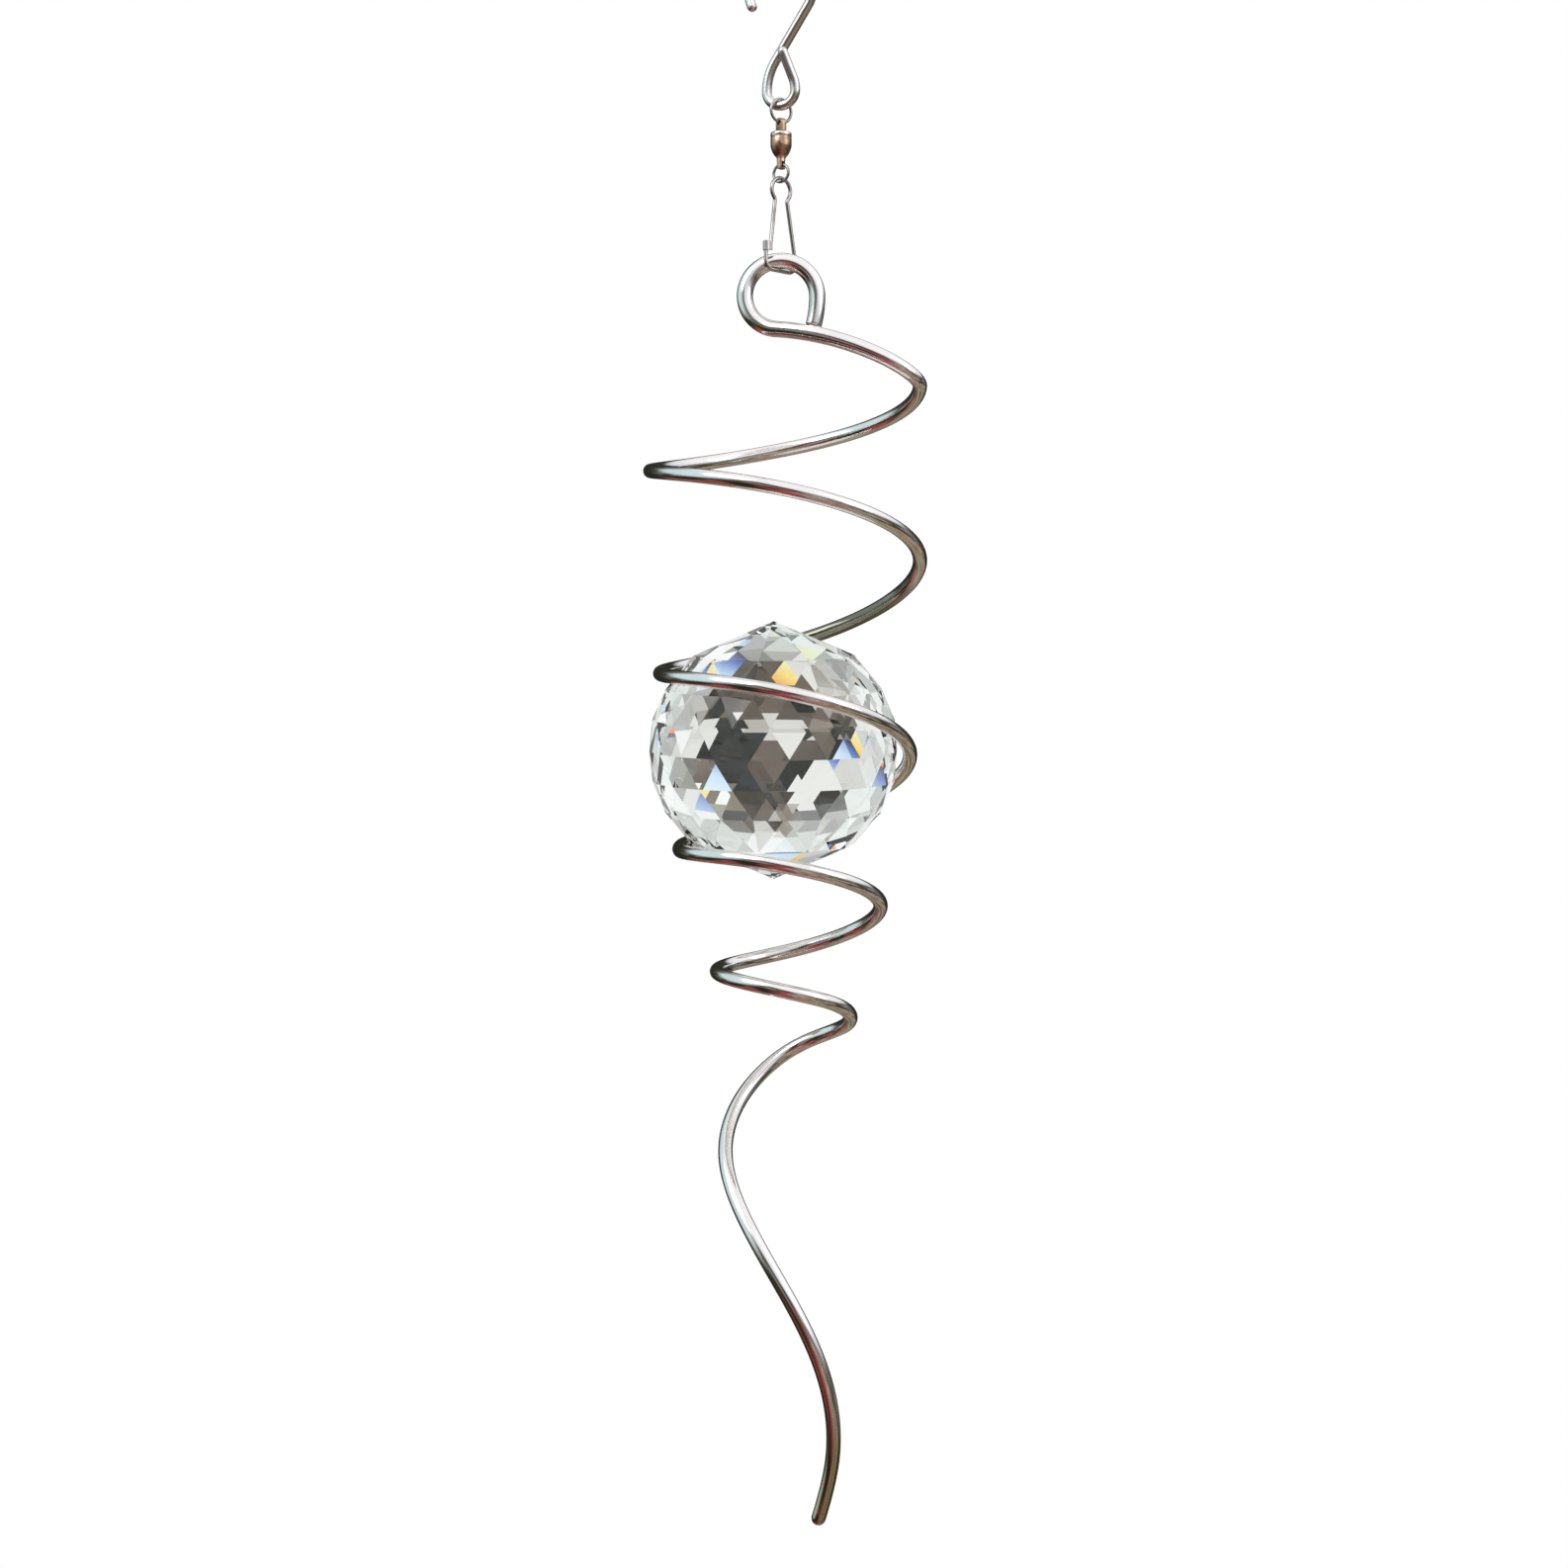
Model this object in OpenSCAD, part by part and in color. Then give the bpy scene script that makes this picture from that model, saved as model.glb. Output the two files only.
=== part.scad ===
// Hanging wind spinner: a tapering wire spiral that carries a loose cut-glass ball,
// hung through a snap and a ball-bearing swivel from an open wire hook.
// The origin is where the hook's crook bears on whatever it hangs from.
// X runs to the right, Y to the back and Z up. All sizes are in millimetres.

/* [Hanger hook] */
// Diameter of the hook's wire
hook_wire = 2.0; // [1.6:0.1:2.2]
// Centreline radius of the open crook
crook_r = 7.0; // [6:0.5:10]
// Centreline radius of the round foot of the teardrop eye
eye_r = 3.1; // [3.0:0.1:3.6]
// How far the shank leans away from vertical, in degrees
shank_lean = 33; // [28:1:36]

/* [Swivel] */
// Outer diameter of the swivel body
body_d = 4.3; // [4.2:0.1:5.0]
// Length of the swivel body below its cap
body_len = 4.4; // [4.4:0.1:5.5]
// Number of balls in the thrust bearing
ball_count = 8; // [6:1:8]
// Diameter of each bearing ball
bearing_ball_d = 0.6; // [0.5:0.02:0.6]
// Diameter of the wire in both rings
ring_wire = 0.6; // [0.5:0.05:0.6]

/* [Snap] */
// Diameter of the snap's spring wire
snap_wire = 0.8; // [0.6:0.05:0.8]
// Height from the centre of the snap's eye to the centreline of its foot
snap_len = 16.8; // [16:0.1:20]
// Width between the centrelines of the two legs at the foot
snap_w = 8.0; // [7.4:0.1:8.4]

/* [Spiral] */
// Diameter of the spiral's wire along the coil
coil_wire = 2.9; // [2.4:0.1:2.9]
// Diameter of the spiral's wire round the top loop
loop_wire = 3.3; // [2.8:0.1:3.3]
// Centreline radius of the top loop
loop_r = 7.3; // [7.2:0.1:8.0]
// How far the coil's axis stands to the right of the top loop's centre
coil_shift = 0.8; // [0:0.1:1.5]

/* [Ball] */
// Diameter of the cut-glass ball across its belts
ball_d = 50; // [44:1:50]
// Height of each point of the ball above its centre
ball_point = 25.9; // [25.1:0.1:25.9]
// How far the ball leans forward in its cage, in degrees
ball_lean = 14; // [0:1:20]

/* [Hidden] */
$fn = 48;

// Clearances
hang_gap = 0.08;
run_gap = 0.05;

// Hanger hook
hook_yaw = -22;
eye_side_r = 11.6;
end_bend_r = 6.0;
end_lean = 23;
end_len = 5.8;
crook_tip_angle = 205;
shank_foot = [eye_side_r * (1 - cos(shank_lean)) - eye_r, 0, eye_side_r * sin(shank_lean)];
shank_len = (crook_r * cos(shank_lean) - shank_foot[0]) / sin(shank_lean);
shank_top = shank_foot + shank_len * [sin(shank_lean), 0, cos(shank_lean)];
crook_z = shank_top[2] + crook_r * sin(shank_lean);
eye_z = -(crook_z + crook_r - hook_wire / 2);

// Upper ring and stem
ring_yaw = 35;
upper_ring_r = 2.45;
upper_ring_z = eye_z - eye_r + hook_wire / 2 + ring_wire / 2 + hang_gap - upper_ring_r;
upper_hole_z = upper_ring_z - upper_ring_r;
cross_hole_r = 0.55;
stem_head_r = 1.15;
stem_head_half = 0.65;
stem_top = 0.95;

// Swivel body, cap and bearing
cap_top_z = upper_hole_z - 1.9;
cap_h = 1.1;
cap_wall = 0.45;
body_wall = 0.4;
body_top_z = cap_top_z - cap_h;
body_foot_z = body_top_z - body_len;
body_r = body_d / 2;
barrel_len = 1.9;
shank_r = 0.6;
race_z = cap_top_z - cap_wall - 0.35;
bearing_z = race_z - run_gap / 2 - bearing_ball_d / 2;
bearing_pitch_r = shank_r + run_gap + bearing_ball_d / 2;
flange_top_z = bearing_z - bearing_ball_d / 2 - run_gap / 2;
flange_r = 1.45;
flange_h = 0.6;
neck_r = 1.0;
neck_hole_r = 0.5;
neck_floor = 0.9;

// Lower stem and ring
lower_shank_r = neck_hole_r - run_gap;
button_r = 0.9;
button_h = 0.5;
lower_block_r = 0.875;
lower_block_h = 2.15;
lower_ring_r = 1.8;
lower_hole_z = body_foot_z - 1.3;
lower_hole_r = 0.5;
lower_head_half = 0.55;
lower_ring_yaw = -35;
lower_ring_z = lower_hole_z - lower_ring_r;

// Snap
snap_yaw = 42;
snap_eye_r = 2.5;
snap_eye_end = 215;
snap_z = lower_ring_z - lower_ring_r + ring_wire / 2 + snap_wire / 2 + hang_gap - snap_eye_r;
foot_z = -snap_len;
neck_r_in = 1.2;
neck_straight = 0.3;
corner_r = 1.8;
heel_r = 2.0;
toe_u = snap_w / 2 + 0.1;
heel_u = snap_w / 2 - 0.1;
gate_gap = 0.15;
gate_len = 10.3;
catch_h = 1.9;
catch_z = -12.1;
catch_wall = 0.3;
neck_c = [(snap_eye_r + neck_r_in) * cos(snap_eye_end) + neck_straight * sin(360 - snap_eye_end),
          0, (snap_eye_r + neck_r_in) * sin(snap_eye_end) - neck_straight * cos(360 - snap_eye_end + 180)];
heel_c = [heel_u - heel_r, 0, foot_z + heel_r];
toe_c = [corner_r - toe_u, 0, foot_z + corner_r];
heel_span = heel_c - [-neck_c[0], 0, neck_c[2]];
leg_lean = acos(-(heel_r + neck_r_in) / norm(heel_span)) + atan2(heel_span[2], heel_span[0]);
gate_lean = 7.3;

// Spiral. Each station is [turns from the first right-hand side, radius, height above the ball's centre].
stations = [[0.00, 27.2, 75.0], [0.25, 27.2, 67.5], [0.50, 27.1, 57.6], [1.00, 27.1, 39.0],
            [1.25, 26.4, 26.8], [1.50, 25.0, 16.3], [1.75, 26.0, 8.0], [2.00, 25.0, -0.5],
            [2.25, 25.4, -10.2], [2.40, 23.4, -15.8], [2.50, 20.9, -19.6], [2.75, 19.6, -25.6],
            [3.00, 19.0, -31.1], [3.25, 16.4, -37.8], [3.50, 13.5, -44.0], [3.75, 13.2, -49.6],
            [4.00, 13.0, -53.2], [4.25, 12.7, -58.8], [4.50, 11.8, -80.5], [4.75, 10.6, -108.8],
            [5.00, 9.5, -138.8], [5.10, 8.2, -152.0]];
loop_above_ball = 93.5;
loop_z = snap_z + foot_z + snap_wire / 2 + hang_gap + loop_wire / 2 - loop_r;
coil_z = loop_z - loop_above_ball;
loop_start = -46;
loop_end = 262.5;
loop_back = 0.9;
loop_sweep = 1.6;
end_leg_r = 24;
lead_out = [46, -15, -6];
lead_in = 22;
wire_sides = 12;
round_steps = 3;

// Ball
ball_x = -1.5;
ball_y = 0.6;
ball_z = coil_z + 0.8;
ball_turn = -10.5;
belt_facets = 20;
belt_lats = [0, 14.4, 29.2, 49.5];

// ---- Helpers ----

function unit(v) = v / norm(v);

// Stands what is drawn along Z on a point and turns it to a heading
module aim(at, heading) {
    translate(at)
        rotate([0, acos(heading[2] / norm(heading)), atan2(heading[1], heading[0])])
            children();
}

// A straight wire with flat ends
module rod(from, to, d) {
    aim(from, to - from) cylinder(h = norm(to - from), d = d);
}

// The smooth joint between two lengths of wire, a hair thicker than the wire itself
module knuckle(at, d) {
    translate(at) sphere(d = d + 0.03);
}

// A wire bent along a circle in the XZ plane, from one angle to another
module bend(centre, radius, from, to, d) {
    translate(centre)
        rotate([90, 0, 0])
            rotate_extrude(angle = to - from, start = from)
                translate([radius, 0])
                    circle(d = d);
}

// A closed wire ring standing in the vertical plane that a yaw angle names
module ring(radius, d, yaw) {
    rotate([0, 0, yaw])
        rotate([90, 0, 0])
            rotate_extrude()
                translate([radius, 0])
                    circle(d = d);
}

// ---- Hanger hook: open crook, leaning shank and a closed teardrop eye ----

module hanger_hook() {
    crook_tip = [crook_r * cos(crook_tip_angle), 0, crook_z + crook_r * sin(crook_tip_angle)];
    end_top = [-end_bend_r * (1 - cos(end_lean)), 0, end_bend_r * sin(end_lean)];
    end_heading = [-sin(end_lean), 0, cos(end_lean)];
    color([0.72, 0.72, 0.70])
    translate([0, 0, eye_z])
    union() {
        rotate([0, 0, hook_yaw])
        union() {
            bend([0, 0, 0], eye_r, 180, 360, hook_wire);
            bend([eye_side_r - eye_r, 0, 0], eye_side_r, 180 - shank_lean, 180, hook_wire);
            rod(shank_foot, shank_top, hook_wire);
            bend([0, 0, crook_z], crook_r, -shank_lean, crook_tip_angle, hook_wire);
            knuckle([-eye_r, 0, 0], hook_wire);
            knuckle(shank_foot, hook_wire);
            knuckle(shank_top, hook_wire);
            knuckle(crook_tip, hook_wire);
        }
        translate([eye_r * cos(hook_yaw), eye_r * sin(hook_yaw), 0])
        rotate([0, 0, -hook_yaw])
        union() {
            bend([-end_bend_r, 0, 0], end_bend_r, 0, end_lean, hook_wire);
            rod(end_top, end_top + end_len * end_heading, hook_wire);
            knuckle([0, 0, 0], hook_wire);
            knuckle(end_top, hook_wire);
            knuckle(end_top + end_len * end_heading, hook_wire);
        }
    }
}

// ---- Swivel ----

module upper_ring() {
    color([0.45, 0.45, 0.46])
    translate([0, 0, upper_ring_z])
        ring(upper_ring_r, ring_wire, ring_yaw);
}

// Stem with a flattened head that the upper ring passes through, and a flange that rides on the balls
module upper_stem() {
    color([0.62, 0.47, 0.33])
    difference() {
        union() {
            intersection() {
                union() {
                    translate([0, 0, cap_top_z + 0.12])
                        cylinder(h = upper_hole_z - cap_top_z - 0.12, r = stem_head_r);
                    translate([0, 0, upper_hole_z])
                        rotate([0, 0, ring_yaw])
                            rotate([0, 90, 0])
                                cylinder(h = 4, r = stem_top, center = true);
                }
                translate([0, 0, upper_hole_z])
                    rotate([0, 0, ring_yaw])
                        cube([2 * stem_head_half, 4, 6], center = true);
            }
            translate([0, 0, flange_top_z - flange_h / 2])
                cylinder(h = cap_top_z + 0.3 - flange_top_z + flange_h / 2, r = shank_r);
            translate([0, 0, flange_top_z - flange_h])
                cylinder(h = flange_h, r = flange_r);
        }
        translate([0, 0, upper_hole_z])
            rotate([0, 0, ring_yaw])
                rotate([0, 90, 0])
                    cylinder(h = 4, r = cross_hole_r, center = true);
    }
}

// Domed cap pressed on the body: the stem runs through it and the balls run under it
module swivel_cap() {
    color([0.78, 0.70, 0.60])
    translate([0, 0, body_top_z])
        rotate_extrude()
            difference() {
                union() {
                    square([body_r, cap_h - 0.5]);
                    translate([body_r - 0.5, cap_h - 0.5]) circle(r = 0.5);
                    square([body_r - 0.5, cap_h]);
                }
                square([shank_r + run_gap, cap_h]);
                square([body_r - body_wall, race_z - body_top_z]);
            }
}

module bearing_balls() {
    color([0.85, 0.85, 0.86])
    for (i = [0 : ball_count - 1])
        rotate([0, 0, i * 360 / ball_count])
            translate([bearing_pitch_r, 0, bearing_z])
                sphere(d = bearing_ball_d);
}

// Tulip-shaped barrel that narrows to the neck that the lower stem turns in
module swivel_body() {
    taper = body_len - barrel_len;
    outline = concat([[0, -body_len], [neck_r, -body_len]],
                     [for (a = [0 : 15 : 90]) [neck_r + (body_r - neck_r) * (sin(a) + a / 90) / 2,
                                               -barrel_len - taper * 0.46 * (1 + cos(a) - a / 90)]],
                     [[body_r, 0], [0, 0]]);
    hollow = [[0, neck_floor - body_len], [button_r + 0.1, neck_floor - body_len],
              [button_r + 0.1, -barrel_len - 0.9], [body_r - body_wall, -barrel_len],
              [body_r - body_wall, 0], [0, 0]];
    color([0.62, 0.47, 0.33])
    translate([0, 0, body_top_z])
        rotate_extrude()
            difference() {
                polygon(outline);
                polygon(hollow);
                translate([0, -body_len]) square([neck_hole_r, neck_floor]);
            }
}

// Button-headed pin that hangs in the neck, with a cross hole for the lower ring
module lower_stem() {
    button_z = body_foot_z + neck_floor + run_gap / 2;
    block_top = body_foot_z - 0.05;
    color([0.68, 0.54, 0.42])
    difference() {
        union() {
            translate([0, 0, button_z])
                cylinder(h = button_h, r = button_r);
            translate([0, 0, block_top - 0.5])
                cylinder(h = button_z - block_top + 0.6, r = lower_shank_r);
            intersection() {
                translate([0, 0, block_top - lower_block_h])
                    cylinder(h = lower_block_h, r = lower_block_r);
                rotate([0, 0, lower_ring_yaw])
                    translate([0, 0, block_top - lower_block_h])
                        cube([2 * lower_head_half, 4, 2 * lower_block_h], center = true);
            }
            translate([0, 0, block_top - 0.7])
                cylinder(h = 0.7, r = lower_block_r);
        }
        translate([0, 0, lower_hole_z])
            rotate([0, 0, lower_ring_yaw])
                rotate([0, 90, 0])
                    cylinder(h = 4, r = lower_hole_r, center = true);
    }
}

module lower_ring() {
    color([0.45, 0.45, 0.46])
    translate([0, 0, lower_ring_z])
        ring(lower_ring_r, ring_wire, lower_ring_yaw);
}

// ---- Snap: one bent spring wire, drawn in its own plane and then turned ----

// Where the straight part of a leg starts below the neck, at the right (1) or the left (-1)
function leg_top(side, lean) =
    [-side * neck_c[0] - side * neck_r_in * cos(lean), 0, neck_c[2] - neck_r_in * sin(lean)];

// The eye, the fixed leg, the foot and the upright that ends in the catch
module snap_frame() {
    eye_left = snap_eye_r * [cos(snap_eye_end), 0, sin(snap_eye_end)];
    eye_right = [-eye_left[0], 0, eye_left[2]];
    inward = neck_straight * [sin(360 - snap_eye_end), 0, -cos(180 - snap_eye_end)];
    heel_in = heel_c + heel_r * [cos(leg_lean), 0, sin(leg_lean)];
    color([0.50, 0.50, 0.50])
    translate([0, 0, snap_z])
    rotate([0, 0, snap_yaw])
    union() {
        bend([0, 0, 0], snap_eye_r, 180 - snap_eye_end, snap_eye_end, snap_wire);
        rod(eye_left, eye_left + inward, snap_wire);
        rod(eye_right, eye_right + [-inward[0], 0, inward[2]], snap_wire);
        bend(neck_c, neck_r_in, -gate_lean, snap_eye_end - 180, snap_wire);
        bend([-neck_c[0], 0, neck_c[2]], neck_r_in, 360 - snap_eye_end, 180 + leg_lean, snap_wire);
        rod(leg_top(1, leg_lean), heel_in, snap_wire);
        bend(heel_c, heel_r, 270, 360 + leg_lean, snap_wire);
        rod([heel_c[0], 0, foot_z], [toe_c[0], 0, foot_z], snap_wire);
        bend(toe_c, corner_r, 180, 270, snap_wire);
        rod([-toe_u, 0, toe_c[2]], [-toe_u, 0, catch_z], snap_wire);
        knuckle(eye_left, snap_wire);
        knuckle(eye_right, snap_wire);
        knuckle(eye_left + inward, snap_wire);
        knuckle(eye_right + [-inward[0], 0, inward[2]], snap_wire);
        knuckle(leg_top(1, leg_lean), snap_wire);
        knuckle(heel_in, snap_wire);
        knuckle([heel_c[0], 0, foot_z], snap_wire);
        knuckle([toe_c[0], 0, foot_z], snap_wire);
        knuckle([-toe_u, 0, toe_c[2]], snap_wire);
        snap_catch();
    }
}

// Folded catch at the top of the upright, open towards the fixed leg
module snap_catch() {
    inner = snap_wire + 0.2;
    reach = 1.4;
    back = 0.5;
    translate([-toe_u, 0, catch_z])
        difference() {
            translate([-back, -inner / 2 - catch_wall, -catch_h / 2])
                cube([reach + back, inner + 2 * catch_wall, catch_h]);
            translate([back, -inner / 2, -catch_h])
                cube([reach, inner, 2 * catch_h]);
        }
}

// The springy leg below the neck, whose end rests in the catch
module snap_gate() {
    down = [-sin(gate_lean), 0, -cos(gate_lean)];
    top = leg_top(-1, gate_lean) + (gate_gap + snap_wire / 2) * down;
    color([0.50, 0.50, 0.50])
    translate([0, 0, snap_z])
    rotate([0, 0, snap_yaw])
    union() {
        rod(top, top + (gate_len - snap_wire) * down, snap_wire);
        translate(top) sphere(d = snap_wire);
        translate(top + (gate_len - snap_wire) * down) sphere(d = snap_wire);
    }
}

// ---- Spiral wire: top loop, lead, coil and tail ----

function slope(k, i) =
    i == 0 ? (stations[1][k] - stations[0][k]) / (stations[1][0] - stations[0][0]) :
    i == len(stations) - 1 ? (stations[i][k] - stations[i - 1][k]) / (stations[i][0] - stations[i - 1][0]) :
    (stations[i + 1][k] - stations[i - 1][k]) / (stations[i + 1][0] - stations[i - 1][0]);

function span_of(t, i = 0) = i >= len(stations) - 2 || t < stations[i + 1][0] ? i : span_of(t, i + 1);

function hermite(u, p0, d0, p1, d1) =
    (2 * pow(u, 3) - 3 * pow(u, 2) + 1) * p0 + (pow(u, 3) - 2 * pow(u, 2) + u) * d0 +
    (3 * pow(u, 2) - 2 * pow(u, 3)) * p1 + (pow(u, 3) - pow(u, 2)) * d1;

// Smooth value of one station column at a number of turns
function along(t, k) =
    let (i = span_of(t), wide = stations[i + 1][0] - stations[i][0], u = (t - stations[i][0]) / wide)
    hermite(u, stations[i][k], wide * slope(k, i), stations[i + 1][k], wide * slope(k, i + 1));

function coil_point(t) = [coil_shift + along(t, 1) * cos(360 * t), along(t, 1) * sin(360 * t), coil_z + along(t, 2)];

coil_start = coil_point(0);
coil_heading = unit(coil_point(0.001) - coil_start);
loop_foot = loop_point(loop_end);

// The loop drifts forward round its turn, crosses the hanging line at its top and sweeps further forward
// into the lead. Its cut end comes down straighter than the loop, behind the lead.
function loop_y(a) = loop_back * (90 - a) / (loop_end - loop_start) -
                     loop_sweep * pow(max(0, a - 180) / (loop_end - 180), 2);
function loop_point(a) =
    a < 0 ? [loop_r - end_leg_r * (1 - cos(a * loop_r / end_leg_r)), loop_y(a),
             loop_z + end_leg_r * sin(a * loop_r / end_leg_r)] :
    [loop_r * cos(a), loop_y(a), loop_z + loop_r * sin(a)];
function lead_point(u) = hermite(u, loop_foot, lead_out, coil_start, lead_in * coil_heading);

turns = stations[len(stations) - 1][0];
centreline = concat([for (i = [0 : 30]) loop_point(loop_start + (loop_end - loop_start) * i / 31)],
                    [for (i = [0 : 13]) lead_point(i / 14)],
                    [for (i = [0 : 161]) coil_point(i / 36)],
                    [for (i = [0 : 43]) coil_point(4.5 + (turns - 4.5) * i / 43)]);
last = len(centreline) - 1;
headings = [for (i = [0 : last]) unit(centreline[min(i + 1, last)] - centreline[max(i - 1, 0)])];

// The wire eases from the loop's diameter to the coil's along the lead
function wire_r(i) = i < 31 ? loop_wire / 2 :
                     i > 44 ? coil_wire / 2 :
                     (loop_wire + (coil_wire - loop_wire) * (i - 30) / 14) / 2;

function carried(side, heading) = unit(side - (side * heading) * heading);

sides = [for (i = 0, s = [0, 1, 0]; i <= last; i = i + 1, s = carried(s, headings[min(i, last)])) s];

function hoop(i, radius, ahead = 0) =
    let (s = carried(sides[i], headings[i]), c = cross(headings[i], s))
    [for (k = [0 : wire_sides - 1]) centreline[i] + ahead * headings[i] +
        radius * (cos(360 * k / wire_sides) * s + sin(360 * k / wire_sides) * c)];

module spiral_wire() {
    // A polygon's corners stand a little outside the round wire, so that both hold the same metal
    swell = 1.02;
    end_r = swell * coil_wire / 2;
    start_r = swell * loop_wire / 2;
    hoops = concat([hoop(0, start_r - 0.3, -0.3)],
                   [for (i = [0 : last]) hoop(i, swell * wire_r(i))],
                   [for (k = [1 : round_steps]) hoop(last, end_r * cos(25 * k), end_r * sin(25 * k))]);
    points = [for (h = hoops) for (p = h) p];
    rows = len(hoops);
    side_faces = [for (j = [0 : rows - 2]) for (k = [0 : wire_sides - 1])
                  let (a = j * wire_sides + k, b = j * wire_sides + (k + 1) % wire_sides)
                  each [[a, b, b + wire_sides], [a, b + wire_sides, a + wire_sides]]];
    first_cap = [for (k = [wire_sides - 1 : -1 : 0]) k];
    last_cap = [for (k = [0 : wire_sides - 1]) (rows - 1) * wire_sides + k];
    color([0.80, 0.79, 0.77])
        polyhedron(points = points, faces = concat(side_faces, [first_cap], [last_cap]), convexity = 10);
}

// ---- Ball: two mirrored halves of triangular facets round a belt, each ending in a point ----

function on_ball(lat, lon) = ball_d / 2 * [cos(lat) * cos(lon), cos(lat) * sin(lon), sin(lat)];

step = 360 / belt_facets;
function belt(b, sign) = [for (k = [0 : belt_facets - 1])
    on_ball(sign * belt_lats[b], ball_turn - 90 + step * (k + (b % 2) / 2))];
function crown(sign) = [for (j = [0 : belt_facets / 2 - 1])
    on_ball(sign * belt_lats[3], ball_turn - 90 + 2 * step * j)];

// Facets between the girdle and one point, listed as seen from outside the upper half
function half_facets(girdle, mid, top, ends, tip) =
    let (n = belt_facets, h = belt_facets / 2)
    concat([for (k = [0 : n - 1]) [mid + k, girdle + (k + 1) % n, girdle + k]],
           [for (k = [0 : n - 1]) [mid + k, mid + (k + 1) % n, girdle + (k + 1) % n]],
           [for (k = [0 : n - 1]) [top + k, top + (k + 1) % n, mid + k]],
           [for (k = [0 : n - 1]) [top + (k + 1) % n, mid + (k + 1) % n, mid + k]],
           [for (j = [0 : h - 1]) [ends + j, top + 2 * j, top + (2 * j + n - 1) % n]],
           [for (j = [0 : h - 1]) [ends + j, top + 2 * j + 1, top + 2 * j]],
           [for (j = [0 : h - 1]) [ends + j, ends + (j + 1) % h, top + 2 * j + 1]],
           [for (j = [0 : h - 1]) [tip, ends + (j + 1) % h, ends + j]]);

function turned_over(faces) = [for (f = faces) [f[2], f[1], f[0]]];

module crystal_ball() {
    n = belt_facets;
    points = concat(belt(0, 1), belt(1, 1), belt(2, 1), crown(1), [[0, 0, ball_point]],
                    belt(1, -1), belt(2, -1), crown(-1), [[0, 0, -ball_point]]);
    lower = 3.5 * n + 1;
    faces = concat(half_facets(0, n, 2 * n, 3 * n, 3.5 * n),
                   turned_over(half_facets(0, lower, lower + n, lower + 2 * n, lower + 2.5 * n)));
    color([0.88, 0.90, 0.88, 0.5])
    translate([ball_x, ball_y, ball_z])
        rotate([ball_lean, 0, 0])
            polyhedron(points = points, faces = faces, convexity = 4);
}

hanger_hook();
upper_ring();
upper_stem();
swivel_cap();
bearing_balls();
swivel_body();
lower_stem();
lower_ring();
snap_frame();
snap_gate();
spiral_wire();
crystal_ball();
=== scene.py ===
import math

import bmesh
import bpy
from mathutils import Matrix, Vector


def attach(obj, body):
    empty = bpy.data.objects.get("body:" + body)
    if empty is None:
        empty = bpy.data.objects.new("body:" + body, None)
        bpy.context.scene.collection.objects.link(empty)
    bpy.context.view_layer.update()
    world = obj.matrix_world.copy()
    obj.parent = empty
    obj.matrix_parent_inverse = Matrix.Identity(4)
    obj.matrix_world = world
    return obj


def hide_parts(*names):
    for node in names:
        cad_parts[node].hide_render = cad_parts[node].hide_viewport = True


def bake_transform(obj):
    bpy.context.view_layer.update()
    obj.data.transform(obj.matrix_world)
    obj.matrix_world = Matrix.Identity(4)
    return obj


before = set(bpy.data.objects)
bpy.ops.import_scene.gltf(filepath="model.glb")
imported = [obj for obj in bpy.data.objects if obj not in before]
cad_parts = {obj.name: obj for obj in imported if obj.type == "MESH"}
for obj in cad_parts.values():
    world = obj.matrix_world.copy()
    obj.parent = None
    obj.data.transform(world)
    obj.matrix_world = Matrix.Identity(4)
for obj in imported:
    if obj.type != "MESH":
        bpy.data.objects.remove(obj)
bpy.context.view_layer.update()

# Shapes below are written in millimetres, in the part's own frame, and turned into metres here.
MM = 0.001


def cosd(a):
    return math.cos(math.radians(a))


def sind(a):
    return math.sin(math.radians(a))


def add_mesh(name, verts, faces, material, smooth=True, uvs=None):
    """A new object from millimetre points. uvs gives each face's corners, in the faces' order."""
    mesh = bpy.data.meshes.new(name)
    mesh.from_pydata([Vector(v) * MM for v in verts], [], faces)
    if uvs:
        layer = mesh.uv_layers.new(name="along_wire")
        flat = [c for face in uvs for c in face]
        for loop, c in zip(layer.data, flat):
            loop.uv = c
    mesh.polygons.foreach_set("use_smooth", [smooth] * len(mesh.polygons))
    mesh.validate()
    mesh.update()
    obj = bpy.data.objects.new(name, mesh)
    bpy.context.scene.collection.objects.link(obj)
    obj.data.materials.append(material)
    return obj


# ---------------------------------------------------------------- materials

def node_material(name):
    mat = bpy.data.materials.new(name)
    mat.use_nodes = True
    nodes = mat.node_tree.nodes
    return mat, nodes, mat.node_tree.links, nodes["Principled BSDF"]


def noise(nodes, links, coords, scale, detail=3.0, rough=0.55, stretch=(1, 1, 1)):
    mapping = nodes.new("ShaderNodeMapping")
    mapping.inputs["Scale"].default_value = stretch
    links.new(coords, mapping.inputs["Vector"])
    tex = nodes.new("ShaderNodeTexNoise")
    tex.inputs["Scale"].default_value = scale
    tex.inputs["Detail"].default_value = detail
    tex.inputs["Roughness"].default_value = rough
    links.new(mapping.outputs["Vector"], tex.inputs["Vector"])
    return tex.outputs["Fac"]


def ramp(nodes, links, value, stops):
    node = nodes.new("ShaderNodeValToRGB")
    ends = node.color_ramp.elements
    while len(ends) < len(stops):
        ends.new(0.5)
    for end, (at, colour) in zip(ends, stops):
        end.position = at
        end.color = (*colour, 1)
    links.new(value, node.inputs["Fac"])
    return node.outputs["Color"]


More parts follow.
